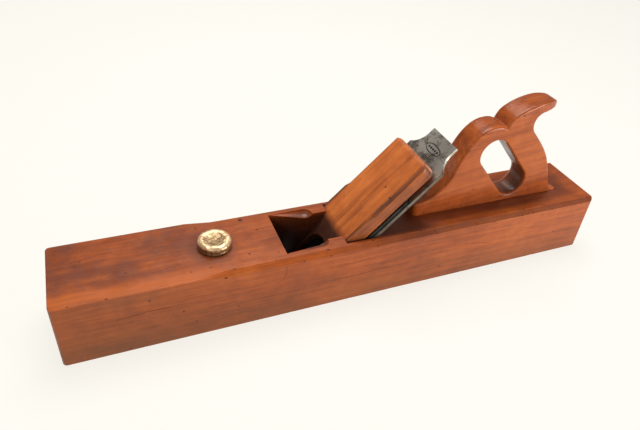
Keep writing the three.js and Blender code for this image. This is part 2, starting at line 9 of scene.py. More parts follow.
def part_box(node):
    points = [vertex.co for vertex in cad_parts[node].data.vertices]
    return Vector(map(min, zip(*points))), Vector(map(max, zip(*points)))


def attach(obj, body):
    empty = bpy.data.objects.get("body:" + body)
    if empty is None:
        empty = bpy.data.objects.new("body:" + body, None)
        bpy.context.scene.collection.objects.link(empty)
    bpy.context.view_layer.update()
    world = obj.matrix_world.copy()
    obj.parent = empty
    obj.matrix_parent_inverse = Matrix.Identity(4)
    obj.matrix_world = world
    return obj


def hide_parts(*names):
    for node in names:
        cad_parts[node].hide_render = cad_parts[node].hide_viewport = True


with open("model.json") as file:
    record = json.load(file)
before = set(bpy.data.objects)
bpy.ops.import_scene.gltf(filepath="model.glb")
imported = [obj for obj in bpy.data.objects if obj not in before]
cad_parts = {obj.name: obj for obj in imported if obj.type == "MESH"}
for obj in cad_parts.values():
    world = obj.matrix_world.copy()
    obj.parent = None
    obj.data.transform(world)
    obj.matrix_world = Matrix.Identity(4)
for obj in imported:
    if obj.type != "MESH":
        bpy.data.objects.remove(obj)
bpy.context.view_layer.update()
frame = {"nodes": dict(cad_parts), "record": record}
mm = 0.001

view = {
    "place": (-0.21705, -0.40982, 0.42176),
    "turn": (53.2105, -4.4073, -22.0314),     # degrees about X, Y and Z
    "lens": 32.818,
    "sensor": 36,
    "shiftX": -0.01664,
    "shiftY": -0.0064,
}

studio = {
    "skyColour": (1.0, 0.975, 0.935),
    "skyStrength": 0.3,
    "floorColour": (0.16, 0.155, 0.145),
    "floorRough": 0.9,
    "floorShine": 0.1,
    "floorReach": 6.0,      # from the middle to each side, in metres
    "floorGlow": 0.83,      # the sheet is bright enough to drown its shadows
    "floorGlowColour": (1.0, 0.975, 0.905),
    "lamps": {              # place, size, watts
        "top": ((0.1, 0.4, 1.3), 0.9, 15.5),
        "right": ((0.8, -0.85, 0.14), 0.45, 9.0),
        "glint": ((-0.75, -0.6, 0.7), 0.14, 1.3),
    },
    "aim": (0.02, 0, 0.05),
}


def addToScene(thing):
    bpy.context.scene.collection.objects.link(thing)
    return thing


def setCamera():
    lens = bpy.data.cameras.new("camera")
    lens.lens = view["lens"]
    lens.sensor_width = view["sensor"]
    lens.shift_x = view["shiftX"]
    lens.shift_y = view["shiftY"]
    lens.clip_start = 10 * mm
    camera = addToScene(bpy.data.objects.new("camera", lens))
    turn = Euler([math.radians(angle) for angle in view["turn"]])
    camera.matrix_world = Matrix.Translation(view["place"]) @ turn.to_matrix().to_4x4()
    bpy.context.scene.camera = camera


def setStudio():
    bpy.context.scene.view_settings.view_transform = "Standard"
    world = bpy.data.worlds.new("studio")
    world.use_nodes = True
    bpy.context.scene.world = world
    sky = world.node_tree.nodes["Background"]
    sky.inputs["Color"].default_value = (*studio["skyColour"], 1)
    sky.inputs["Strength"].default_value = studio["skyStrength"]
    for name, (place, size, watts) in studio["lamps"].items():
        lamp = bpy.data.lights.new(name, "AREA")
        lamp.shape = "DISK"
        lamp.size = size
        lamp.energy = watts
        stand = addToScene(bpy.data.objects.new(name, lamp))
        stand.location = place
        towards = Vector(studio["aim"]) - Vector(place)
        stand.rotation_euler = towards.to_track_quat("-Z", "Y").to_euler()


def setFloor():
    paper = bpy.data.materials.new("floorPaper")
    paper.use_nodes = True
    shader = paper.node_tree.nodes["Principled BSDF"]
    shader.inputs["Base Color"].default_value = (*studio["floorColour"], 1)
    shader.inputs["Roughness"].default_value = studio["floorRough"]
    shader.inputs["Specular IOR Level"].default_value = studio["floorShine"]
    shader.inputs["Emission Color"].default_value = (*studio["floorGlowColour"], 1)
    shader.inputs["Emission Strength"].default_value = studio["floorGlow"]
    far = studio["floorReach"]
    mesh = bpy.data.meshes.new("floor")
    corners = [(-far, -far, 0), (far, -far, 0), (far, far, 0), (-far, far, 0)]
    mesh.from_pydata(corners, [], [(0, 1, 2, 3)])
    mesh.materials.append(paper)
    addToScene(bpy.data.objects.new("floor", mesh))


def addNode(tree, kind, inputs=None, **settings):
    made = tree.nodes.new(kind)
    for name, value in settings.items():
        setattr(made, name, value)
    for name, value in (inputs or {}).items():
        if isinstance(value, bpy.types.NodeSocket):
            tree.links.new(value, made.inputs[name])
        else:
            made.inputs[name].default_value = value
    return made


def calc(tree, operation, a, b=0.0):
    return addNode(tree, "ShaderNodeMath", {0: a, 1: b}, operation=operation).outputs[0]


def combine(tree, operation, parts):
    total = parts[0]
    for part in parts[1:]:
        total = calc(tree, operation, total, part)
    return total


def plus(tree, *parts):
    return combine(tree, "ADD", parts)


def times(tree, *parts):
    return combine(tree, "MULTIPLY", parts)


def vectorCalc(tree, operation, a, b=(0, 0, 0)):
    made = addNode(tree, "ShaderNodeVectorMath", {0: a, 1: b}, operation=operation)
    return made.outputs["Value" if operation in ("DISTANCE", "LENGTH", "DOT_PRODUCT") else "Vector"]


def scaled(tree, vector, amount):
    made = addNode(tree, "ShaderNodeVectorMath", {0: vector, "Scale": amount}, operation="SCALE")
    return made.outputs["Vector"]


def splitAxes(tree, vector):
    return addNode(tree, "ShaderNodeSeparateXYZ", {0: vector}).outputs


def joinAxes(tree, x=0.0, y=0.0, z=0.0):
    return addNode(tree, "ShaderNodeCombineXYZ", {0: x, 1: y, 2: z}).outputs[0]


def spread(tree, value, low, high, outLow=0.0, outHigh=1.0):
    # stretches a value between two limits, smoothly
    made = addNode(tree, "ShaderNodeMapRange", {"Value": value, "From Min": low, "From Max": high,
                                                "To Min": outLow, "To Max": outHigh},
                   interpolation_type="SMOOTHSTEP")
    return made.outputs["Result"]


def blendColour(tree, share, a, b, way="MIX"):
    made = addNode(tree, "ShaderNodeMix", data_type="RGBA", blend_type=way)
    for socket, value in ((made.inputs[0], share), (made.inputs[6], a), (made.inputs[7], b)):
        if isinstance(value, bpy.types.NodeSocket):
            tree.links.new(value, socket)
        elif isinstance(value, (int, float)):
            socket.default_value = value
        else:
            socket.default_value = (*value, 1)
    return made.outputs[2]


def noise(tree, vector, scale, detail, roughness, seed):
    made = addNode(tree, "ShaderNodeTexNoise",
                   {"Vector": vector, "W": seed, "Scale": scale, "Detail": detail, "Roughness": roughness},
                   noise_dimensions="4D")
    return made.outputs["Fac"]


def stretched(tree, vector, along, across):
    return vectorCalc(tree, "MULTIPLY", vector, (along, across, across))


def newMaterial(name):
    made = bpy.data.materials.new(name)
    made.use_nodes = True
    return made, made.node_tree, made.node_tree.nodes["Principled BSDF"]


def link(tree, source, shader, name):
    tree.links.new(source, shader.inputs[name])


def addBump(tree, shader, height, depth, strength):
    made = addNode(tree, "ShaderNodeBump", {"Height": height, "Distance": depth, "Strength": strength})
    link(tree, made.outputs[0], shader, "Normal")


def newGrower(name, **sizes):
    # a geometry node tree with one named input for each size
    tree = bpy.data.node_groups.new(name, "GeometryNodeTree")
    tree.interface.new_socket("Geometry", in_out="INPUT", socket_type="NodeSocketGeometry")
    for label, value in sizes.items():
        kind = "NodeSocketInt" if isinstance(value, int) else "NodeSocketFloat"
        tree.interface.new_socket(label, in_out="INPUT", socket_type=kind).default_value = value
    tree.interface.new_socket("Geometry", in_out="OUTPUT", socket_type="NodeSocketGeometry")
    return tree, tree.nodes.new("NodeGroupInput").outputs


def endGrower(tree, geometry, material):
    whole = addNode(tree, "GeometryNodeRealizeInstances", {"Geometry": geometry}).outputs[0]
    painted = addNode(tree, "GeometryNodeSetMaterial", {"Geometry": whole, "Material": material}).outputs[0]
    addNode(tree, "NodeGroupOutput", {0: painted})


def grow(piece, tree, **sizes):
    grower = piece.modifiers.new(tree.name, "NODES")
    grower.node_group = tree
    for item in tree.interface.items_tree:
        if item.in_out == "INPUT" and item.name in sizes:
            grower[item.identifier] = sizes[item.name]
    return plainMesh(piece)


def randomValue(tree, low, high, seed):
    return addNode(tree, "FunctionNodeRandomValue", {"Min": low, "Max": high, "Seed": seed}).outputs["Value"]


def linesObject(name, paths):
    # open paths of points, as edges
    points, edges = [], []
    for path in paths:
        first = len(points)
        points += path
        edges += [(first + i, first + i + 1) for i in range(len(path) - 1)]
    mesh = bpy.data.meshes.new(name)
    mesh.from_pydata(points, edges, [])
    return addToScene(bpy.data.objects.new(name, mesh))


def blankObject(name):
    return addToScene(bpy.data.objects.new(name, bpy.data.meshes.new(name)))


def cleanCopy(nodeName, pieceName, flatAngle=0.6):
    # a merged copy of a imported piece, with its flat faces whole again
    work = bmesh.new()
    work.from_mesh(frame["nodes"][nodeName].data)
    bmesh.ops.remove_doubles(work, verts=work.verts, dist=0.002 * mm)
    bmesh.ops.dissolve_limit(work, angle_limit=math.radians(flatAngle), verts=work.verts, edges=work.edges)
    mesh = bpy.data.meshes.new(pieceName)
    work.to_mesh(mesh)
    work.free()
    return addToScene(bpy.data.objects.new(pieceName, mesh))


def plainMesh(piece):
    # turns a piece's modifiers into its mesh
    bpy.context.view_layer.update()
    shaped = piece.evaluated_get(bpy.context.evaluated_depsgraph_get())
    mesh = bpy.data.meshes.new_from_object(shaped)
    piece.modifiers.clear()
    piece.data = mesh
    return piece


def soften(piece, voxel, rounds):
    # rounds a carved piece all over, as handling and scraping leave it
    remesh = piece.modifiers.new("grain", "REMESH")
    remesh.mode = "VOXEL"
    remesh.voxel_size = voxel
    smooth = piece.modifiers.new("shaded", "SMOOTH")
    smooth.factor = 0.5
    smooth.iterations = rounds
    return plainMesh(piece)


def shadeSmooth(piece, angle):
    # smooth up to an angle, and crisp round every nick and punched mark
    piece.data.shade_smooth()
    piece.data.set_sharp_from_angle(angle=math.radians(angle))
    work = bmesh.new()
    work.from_mesh(piece.data)
    for edge in work.edges:
        if len({face.material_index for face in edge.link_faces}) > 1:
            edge.smooth = False
    work.to_mesh(piece.data)
    work.free()


def crispShade(piece, angle=30, flatArea=3 * mm * mm):
    # smooth on the small roundings only; every flat face keeps its own straight shading
    shadeSmooth(piece, angle)
    work = bmesh.new()
    work.from_mesh(piece.data)
    for face in work.faces:
        level = any(edge.is_manifold and edge.calc_face_angle() < 0.001 for edge in face.edges)
        if level or face.calc_area() > flatArea:
            for edge in face.edges:
                edge.smooth = False
    work.to_mesh(piece.data)
    work.free()


def bevelEdges(piece, width, sharpest=130, flattest=35):
    # eases a metal piece's corners, and leaves its cutting edge sharp
    work = bmesh.new()
    work.from_mesh(piece.data)
    edges = [edge for edge in work.edges if edge.is_manifold
             and math.radians(flattest) < edge.calc_face_angle() < math.radians(sharpest)]
    bmesh.ops.bevel(work, geom=edges, offset=width, segments=2, profile=0.5, affect="EDGES",
                    clamp_overlap=True)
    bmesh.ops.recalc_face_normals(work, faces=work.faces)
    work.to_mesh(piece.data)
    work.free()
    return piece


def cutAway(piece, cutter):
    cut = piece.modifiers.new("cut", "BOOLEAN")
    cut.operation = "DIFFERENCE"
    cut.solver = "EXACT"
    cut.use_self = True
    cut.object = cutter
    cut.material_mode = "TRANSFER"
    plainMesh(piece)
    bpy.data.objects.remove(cutter)
    return piece


def finishPiece(piece, body, slot, *nodes):
    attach(piece, body)
    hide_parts(*nodes)
    print("made", piece.name, len(piece.data.vertices), "points")


beechLook = {
    "light": (0.52, 0.125, 0.02),
    "middle": (0.385, 0.08, 0.0122),
    "dark": (0.19, 0.036, 0.007),
    "stain": (0.15, 0.04, 0.022),
    # dark grime of pores and marks, also the colour of the painted shade inside the throat
    "grimeAndShade": (0.02, 0.009, 0.007),
    "ringWidth": 7 * mm,
    "ringWander": 6.0,      # how many rings' widths the growth strays
    "fleckShare": 0.3,
    "pores": 75.0,          # possible dark pores in a metre
    "poreDark": 0.8,
    "rough": 0.33,
    "shine": 0.32,
    "grainDepth": 0.09 * mm,
}


def tinted(colour, tint):
    return tuple(part * share for part, share in zip(colour, tint)) + (1,)


def beech(name, grainTilt, heart, seed, stains, rough=beechLook["rough"], extras=None, tint=(1, 1, 1)):
    # extras(tree, spot, turned, colour) adds the marks of one piece
    made, tree, shader = newMaterial(name)
    spot = addNode(tree, "ShaderNodeTexCoord").outputs["Object"]
    turned = addNode(tree, "ShaderNodeMapping", {"Vector": spot, "Rotation": (0, grainTilt, 0)}).outputs[0]
    wander = noise(tree, stretched(tree, turned, 4, 16), 1.0, 2.0, 0.5, seed)
    # growth rings round a heart that lies outside the piece
    along, across, up = splitAxes(tree, vectorCalc(tree, "SUBTRACT", turned, heart))
    reach = vectorCalc(tree, "LENGTH", joinAxes(tree, 0.0, across, up))
    rings = calc(tree, "DIVIDE", reach, beechLook["ringWidth"])
    rings = plus(tree, rings, times(tree, wander, beechLook["ringWander"]))
    ring = calc(tree, "POWER", calc(tree, "FRACT", rings), 2.0)
    fibre = noise(tree, stretched(tree, turned, 22, 800), 1.0, 4.0, 0.62, seed + 3)
    streak = noise(tree, stretched(tree, turned, 9, 190), 1.0, 4.0, 0.62, seed + 7)
    patch = noise(tree, stretched(tree, turned, 7, 17), 1.0, 4.0, 0.6, seed + 11)
    mottle = noise(tree, spot, 75, 3.0, 0.6, seed + 13)
    flecks = spread(tree, noise(tree, stretched(tree, turned, 130, 900), 1.0, 1.0, 0.4, seed + 17), 0.6, 0.7)
    tone = plus(tree, times(tree, ring, 0.13),
                spread(tree, streak, 0.3, 0.7, 0, 0.33),
                spread(tree, fibre, 0.3, 0.7, 0, 0.22),
                spread(tree, patch, 0.32, 0.68, 0, 0.4),
                spread(tree, mottle, 0.3, 0.7, -0.05, 0.13))
    ramp = addNode(tree, "ShaderNodeValToRGB", {"Fac": tone})
    ramp.color_ramp.elements[0].position = 0.1
    ramp.color_ramp.elements[0].color = tinted(beechLook["light"], tint)
    ramp.color_ramp.elements[1].position = 1.0
    ramp.color_ramp.elements[1].color = tinted(beechLook["dark"], tint)
    ramp.color_ramp.elements.new(0.5).color = tinted(beechLook["middle"], tint)
    colour = blendColour(tree, times(tree, flecks, beechLook["fleckShare"]),
                         ramp.outputs[0], beechLook["dark"])
    blotch = noise(tree, spot, 24, 5.0, 0.65, seed + 23)
    colour = blendColour(tree, times(tree, spread(tree, blotch, 0.5, 0.68), stains),
                         colour, beechLook["stain"])
    cells = addNode(tree, "ShaderNodeTexVoronoi", {"Vector": spot, "Scale": beechLook["pores"]}, feature="F1")
    keep = addNode(tree, "ShaderNodeSeparateColor", {0: cells.outputs["Color"]}).outputs[0]
    pore = times(tree, spread(tree, cells.outputs["Distance"], 0.11, 0.06), spread(tree, keep, 0.6, 0.65))
    colour = blendColour(tree, times(tree, pore, beechLook["poreDark"]), colour, beechLook["grimeAndShade"])
    if extras:
        colour = extras(tree, spot, turned, colour)
    link(tree, colour, shader, "Base Color")
    uneven = spread(tree, noise(tree, spot, 60, 4.0, 0.6, seed + 31), 0.3, 0.7, -0.06, 0.1)
    link(tree, plus(tree, uneven, rough, times(tree, flecks, 0.12)), shader, "Roughness")
    shader.inputs["Specular IOR Level"].default_value = beechLook["shine"]
    relief = calc(tree, "SUBTRACT", times(tree, fibre, 0.45), times(tree, flecks, 0.5))
    relief = plus(tree, relief, times(tree, noise(tree, spot, 40, 2.0, 0.5, seed + 41), 1.5),
                  times(tree, pore, -0.8))
    addBump(tree, shader, relief, beechLook["grainDepth"], 0.7)
    return made


def agedMetal(name, seed, clean, stain, rough=0.42, stainShare=0.6, scale=70, extras=None):
    made, tree, shader = newMaterial(name)
    spot = addNode(tree, "ShaderNodeTexCoord").outputs["Object"]
    blotch = noise(tree, spot, scale, 5.0, 0.6, seed)
    small = noise(tree, spot, scale * 7, 3.0, 0.6, seed + 5)
    share = spread(tree, plus(tree, blotch, times(tree, small, 0.35)), 0.6, 0.78)
    share = times(tree, share, stainShare)
    colour = blendColour(tree, share, clean, stain)
    tone = spread(tree, noise(tree, spot, scale * 0.4, 2.0, 0.5, seed + 9), 0.3, 0.7, 0.72, 1.2)
    colour = blendColour(tree, 1.0, colour, joinAxes(tree, tone, tone, tone), "MULTIPLY")
    if extras:
        colour = extras(tree, spot, colour)
    link(tree, colour, shader, "Base Color")
    link(tree, spread(tree, blotch, 0.35, 0.75, rough - 0.06, rough + 0.22), shader, "Roughness")
    shader.inputs["Metallic"].default_value = 1.0
    relief = plus(tree, small, times(tree, share, 0.8))
    fine = noise(tree, stretched(tree, spot, 60, 2600), 1.0, 2.0, 0.5, seed + 13)
    relief = plus(tree, relief, times(tree, fine, 0.5))
    addBump(tree, shader, relief, 0.05 * mm, 0.6)
    return made


setCamera()
setStudio()
setFloor()
print("camera, studio and floor set")


stockLook = {
    # painted shade, with some grime, inside the throat
    "throatDark": 0.9,      # how black the inside of the throat is
    "toeStain": 0.75,
    "toePatch": (-218 * mm, -8 * mm, 68 * mm),
    "toePatchColour": (0.125, 0.036, 0.024),
    "toeBand": (0.6, 0.14, 0.028),
    # darker low sides: partly grime, partly painted shade near the floor
    "soleShadeAndGrime": 0.5,
    "lowSide": (0.1, 0.042, 0.013),
    "drift": (0.17, 0.05, 0.017),
    # colours of painted shade and shadow on the stock's top
    "footShade": (0.085, 0.02, 0.01),
    "arrisShade": (0.12, 0.03, 0.012),
    "buttonShadow": (0.11, 0.03, 0.016),
    "bruiseTint": (0.5, 0.5, 0.5),
    "heart": (0, 0.03, -0.16),      # of the tree that the stock was cut from
    "chamfer": 4.5 * mm,
    "cornerInset": 5 * mm,          # the nicks keep this far from the corners
    "nickSpacing": 46 * mm,
    "nickLength": 1.8 * mm,
    "nickDepth": 0.8 * mm,          # from the corner before it was rounded
    "scratchWidth": 0.22 * mm,
    "dotDark": 0.75,
    # x, z and radius in millimetres, on the near side; the far side has them turned about
    "dotsNearSide": ((-164.5, 18.4, 0.9), (-125.8, 65.4, 0.6), (-125.6, 25.3, 0.9), (-83.3, 31.9, 0.6),
                     (-223.7, 2.8, 0.9), (-96.9, 25.5, 0.6), (40, 22, 0.7), (205, 15, 0.6)),
    # x, y and radius in millimetres
    "dotsTop": ((-105, 30.9, 2.4), (-148.5, 30, 1.0), (-252, 12, 0.8), (205, -22, 0.9)),
    # centres and half sizes in millimetres
    "chips": (((279.3, -40.2, 34), (2.0, 1.9, 4.6)),
              ((279.6, -39.8, 30.5), (1.2, 1.2, 3.0)),
              ((-279.6, -40, 33.5), (1.5, 1.3, 2.8)),
              ((-279.4, 40, 52), (1.4, 1.4, 2.2)),
              ((279.4, 40, 12), (1.5, 1.6, 3.4))),
    # points along each scratch in millimetres: x and z on the sides, x and y on the top
    "sideScratches": (((-80.4, 61.4), (-80.1, 55.2), (-81.9, 49.4), (-84.7, 45.1), (-89.5, 44)),
                      ((-231, 41), (-205, 43.5), (-187, 43.2)),
                      ((-20, 30), (18, 33), (31, 32)),
                      ((118, 41), (141, 37), (150, 33)),
                      ((196, 30), (201, 34))),
    "topScratches": (((-262, 12), (-238, 17), (-225, 17.5)),
                     ((-196, -20), (-171, -16)),
                     ((-118, 14), (-106, 20))),
}
stockLow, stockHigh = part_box("stock")
buttonLow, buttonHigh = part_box("strike_button")


def inside(tree, value, low, high, soft):
    # 1 between two limits and 0 beyond them
    return times(tree, spread(tree, value, low - soft, low + soft),
                spread(tree, value, high + soft, high - soft))


def darkDots(tree, spot, places):
    # 1 inside any of the small round marks; places are (point, radius)
    nearest = None
    for point, radius in places:
        away = calc(tree, "DIVIDE", vectorCalc(tree, "DISTANCE", spot, point), radius)
        nearest = away if nearest is None else calc(tree, "MINIMUM", nearest, away)
    ragged = plus(tree, nearest, times(tree, noise(tree, spot, 900, 1.0, 0.5, 71), 0.5))
    return spread(tree, ragged, 1.45, 0.95)


def toeMarks(tree, spot, axes, cloud, colour):
    # brown bloom on the toe's top, and a clear orange band beside it along the near edge
    x, y, z = axes
    onTop = spread(tree, z, stockHigh.z - 2.5 * mm, stockHigh.z - 0.8 * mm)
    bloom = times(tree, spread(tree, x, -100 * mm, -190 * mm), onTop, spread(tree, y, -30 * mm, -19 * mm),
                  spread(tree, cloud, 0.42, 0.62, 0.1, stockLook["toeStain"]))
    colour = blendColour(tree, bloom, colour, beechLook["stain"])
    away = vectorCalc(tree, "DISTANCE", spot, stockLook["toePatch"])
    patch = spread(tree, plus(tree, away, times(tree, cloud, 20 * mm)), 30 * mm, 14 * mm)
    colour = blendColour(tree, times(tree, patch, 0.6), colour, stockLook["toePatchColour"])
    band = times(tree, spread(tree, y, -24 * mm, -33 * mm), onTop,
                 spread(tree, x, -120 * mm, -170 * mm, 0, 0.55))
    return blendColour(tree, band, colour, stockLook["toeBand"])


def sideMarks(tree, spot, axes, cloud, colour):
    # the sides darken towards the sole, partly grime and partly painted shade near the floor, and towards the
    # toe as painted shade where less light falls; brown drifts follow the grain
    x, y, z = axes
    low = times(tree, spread(tree, z, 45 * mm, 0.0, 0.0, stockLook["soleShadeAndGrime"]),
                spread(tree, cloud, 0.3, 0.7, 0.5, 1.0))
    # painted shade: the side darkens towards the toe, away from the light
    toeward = spread(tree, x, 0.0, -270 * mm, 0, 0.24)
    side = times(tree, plus(tree, low, toeward),
                 spread(tree, z, stockHigh.z - 0.8 * mm, stockHigh.z - 2 * mm))
    colour = blendColour(tree, side, colour, stockLook["lowSide"])
    drift = noise(tree, stretched(tree, spot, 11, 95), 1.0, 3.0, 0.55, 57)
    return blendColour(tree, spread(tree, drift, 0.55, 0.72, 0, 0.4), colour, stockLook["drift"])


def throatShadeAndGrime(tree, axes, colour):
    # painted shade of the deep recess, with some grime: the throat and the bed are darkened toward black,
    # more so lower down
    x, y, z = axes
    hollow = times(tree, spread(tree, calc(tree, "ABSOLUTE", y), 36.5 * mm, 35 * mm),
                   inside(tree, x, -85 * mm, 45 * mm, 1 * mm))
    hollow = times(tree, hollow, inside(tree, z, 1.5 * mm, stockHigh.z - 2.5 * mm, 0.8 * mm))
    depth = spread(tree, z, stockHigh.z, 35 * mm, 0.62, 1.0)
    hollow = times(tree, hollow, depth, stockLook["throatDark"])
    return blendColour(tree, hollow, colour, beechLook["grimeAndShade"])


def paintedShade(tree, spot, axes, cloud, colour):
    # painted shade round the tote's foot and behind the wedge, a painted dark band along the heel's arris,
    # and a painted shadow round the button
    x, y, z = axes
    size = calc(tree, "ABSOLUTE", y)
    foot = times(tree, spread(tree, size, 36 * mm, 22 * mm), inside(tree, x, 55 * mm, 262 * mm, 12 * mm),
                 spread(tree, cloud, 0.3, 0.65, 0.6, 1.0))
    bed = times(tree, inside(tree, x, 0.0, 75 * mm, 12 * mm), spread(tree, size, 36 * mm, 30 * mm))
    shaded = times(tree, calc(tree, "MAXIMUM", foot, bed),
                 spread(tree, z, stockHigh.z - 4 * mm, stockHigh.z - mm, 0, 0.8))
    colour = blendColour(tree, shaded, colour, stockLook["footShade"])
    # painted shade: the arris darkens towards the heel
    arris = times(tree, inside(tree, z, stockHigh.z - 4.6 * mm, stockHigh.z - 0.4 * mm, 0.3 * mm),
                  spread(tree, size, 35 * mm, 35.6 * mm), spread(tree, x, -60 * mm, 100 * mm, 0.0, 0.6))
    colour = blendColour(tree, arris, colour, stockLook["arrisShade"])
    # painted shadow round the button
    centre = ((buttonLow.x + buttonHigh.x) / 2 - 3 * mm, -3 * mm, stockHigh.z)
    halo = spread(tree, vectorCalc(tree, "DISTANCE", spot, centre), 29 * mm, 15 * mm, 0, 0.62)
    return blendColour(tree, halo, colour, stockLook["buttonShadow"])


def stockMarks(tree, spot, turned, colour):
    axes = splitAxes(tree, spot)
    cloud = noise(tree, stretched(tree, spot, 16, 26), 1.0, 5.0, 0.62, 51)
    colour = toeMarks(tree, spot, axes, cloud, colour)
    colour = sideMarks(tree, spot, axes, cloud, colour)
    colour = throatShadeAndGrime(tree, axes, colour)
    colour = paintedShade(tree, spot, axes, cloud, colour)
    dots = [((x * mm, stockLow.y, z * mm), radius * mm) for x, z, radius in stockLook["dotsNearSide"]]
    dots += [((-x * mm, stockHigh.y, z * mm), radius * mm) for x, z, radius in stockLook["dotsNearSide"]]
    dots += [((x * mm, y * mm, stockHigh.z), radius * mm) for x, y, radius in stockLook["dotsTop"]]
    dark = times(tree, darkDots(tree, spot, dots), stockLook["dotDark"])
    return blendColour(tree, dark, colour, beechLook["grimeAndShade"])


def nickGrower(material):
    # scatters small dents along lines
    tree, sizes = newGrower("edgeNicks", spacing=0.03, length=0.002, depth=0.001, seed=1)
    lines = addNode(tree, "GeometryNodeMeshToCurve", {"Mesh": sizes["Geometry"]}).outputs[0]
    lines = addNode(tree, "GeometryNodeResampleCurve", {"Curve": lines, "Length": sizes["spacing"]},
                    mode="LENGTH").outputs[0]
    points = addNode(tree, "GeometryNodeCurveToPoints", {"Curve": lines}, mode="EVALUATED").outputs
    shift = times(tree, randomValue(tree, -0.5, 0.5, sizes["seed"]), sizes["spacing"])
    shift = scaled(tree, points["Tangent"], shift)
    placed = addNode(tree, "GeometryNodeSetPosition",
                     {"Geometry": points["Points"], "Offset": shift}).outputs[0]
    dent = addNode(tree, "GeometryNodeMeshIcoSphere", {"Radius": 1.0, "Subdivisions": 2}).outputs["Mesh"]
    wide = times(tree, randomValue(tree, 0.45, 1.15, plus(tree, sizes["seed"], 1)), sizes["depth"])
    long = times(tree, randomValue(tree, 0.4, 1.3, plus(tree, sizes["seed"], 2)), sizes["length"])
    dents = addNode(tree, "GeometryNodeInstanceOnPoints",
                    {"Points": placed, "Instance": dent, "Rotation": points["Rotation"],
                     "Scale": joinAxes(tree, wide, wide, long)}).outputs[0]
    tilt = addNode(tree, "FunctionNodeRandomValue", {0: (-0.25, -0.25, -0.25), 1: (0.25, 0.25, 0.25)},
                   data_type="FLOAT_VECTOR").outputs[0]
    dents = addNode(tree, "GeometryNodeRotateInstances", {"Instances": dents, "Rotation": tilt}).outputs[0]
    endGrower(tree, dents, material)
    return tree


def sweptBlade(tree, paths, sides, radius):
    section = addNode(tree, "GeometryNodeCurvePrimitiveCircle", {"Resolution": sides, "Radius": radius})
    return addNode(tree, "GeometryNodeCurveToMesh",
                   {"Curve": paths, "Profile Curve": section.outputs[0], "Fill Caps": True}).outputs[0]


def scratchGrower(material):
    # sweeps a thin blade along each path
    tree, sizes = newGrower("scratches", width=0.0002)
    paths = addNode(tree, "GeometryNodeMeshToCurve", {"Mesh": sizes["Geometry"]}).outputs[0]
    endGrower(tree, sweptBlade(tree, paths, 5, sizes["width"]), material)
    return tree


def stockEdges():
    # the stock's long and end edges, where the nicks fall
    low, high = stockLow, stockHigh
    chamfer, inset = stockLook["chamfer"], stockLook["cornerInset"]
    start = buttonHigh.x
    edges = []
    for y, inward in ((low.y, chamfer), (high.y, -chamfer)):
        edges.append([(low.x + inset, y, high.z), (start - 40 * mm, y, high.z)])
        edges.append([(start, y, high.z - chamfer), (high.x - inset, y, high.z - chamfer)])
        edges.append([(start, y + inward, high.z), (high.x - inset, y + inward, high.z)])
        edges.append([(low.x + inset, y, low.z), (high.x - inset, y, low.z)])
    for x in (low.x, high.x):
        for z in (low.z, high.z):
            edges.append([(x, low.y + inset, z), (x, high.y - inset, z)])
    return edges


def chipsObject(material):
    # the larger chips, knocked out of the corners
    work = bmesh.new()
    for centre, half in stockLook["chips"]:
        place = Matrix.Translation(Vector(centre) * mm) @ Matrix.Diagonal((*(Vector(half) * mm), 1))
        bmesh.ops.create_icosphere(work, subdivisions=2, radius=1, matrix=place)
    mesh = bpy.data.meshes.new("chips")
    work.to_mesh(mesh)
    work.free()
    mesh.materials.append(material)
    return addToScene(bpy.data.objects.new("chips", mesh))


def scratchPaths():
    near, far, top = stockLow.y, stockHigh.y, stockHigh.z
    paths = [[(x * mm, near, z * mm) for x, z in path] for path in stockLook["sideScratches"]]
    paths += [[(-x * mm, far, z * mm) for x, z in path] for path in stockLook["sideScratches"]]
    paths += [[(x * mm, y * mm, top) for x, y in path] for path in stockLook["topScratches"]]
    return paths


def makeStock():
    wood = beech("stockBeech", 0, stockLook["heart"], 2.0, stains=0.3, extras=stockMarks)
    bruise = beech("bruisedBeech", 0, stockLook["heart"], 5.0, stains=0.8, rough=0.5,
                   tint=stockLook["bruiseTint"])
    piece = cleanCopy("stock", "planeStock")
    piece.data.materials.clear()
    piece.data.materials.append(wood)
    nicks = grow(linesObject("nicks", stockEdges()), nickGrower(bruise), spacing=stockLook["nickSpacing"],
                 length=stockLook["nickLength"], depth=stockLook["nickDepth"], seed=4)
    cutAway(piece, nicks)
    scratches = grow(linesObject("scratches", scratchPaths()), scratchGrower(bruise),
                     width=stockLook["scratchWidth"])
    cutAway(piece, scratches)
    cutAway(piece, chipsObject(bruise))
    crispShade(piece)
    finishPiece(piece, "stock", "stock_beech", "stock")


toteLook = {
    "voxel": 0.8 * mm,
    "rounds": 4,
    "grainTilt": 0.12,
    "heart": (0, 0.09, -0.02),
    "rough": 0.25,
    "holeTop": (147.5 * mm, 0, 128.4 * mm),     # middles of the finger hole's round ends
    "holeFoot": (180 * mm, 0, 90.4 * mm),
    "holeReach": 17 * mm,                       # from the line between them to the wall
    # painted shade on the wall of the finger hole
    "holeDark": 0.72,
    "holeShade": (0.045, 0.028, 0.02),
}


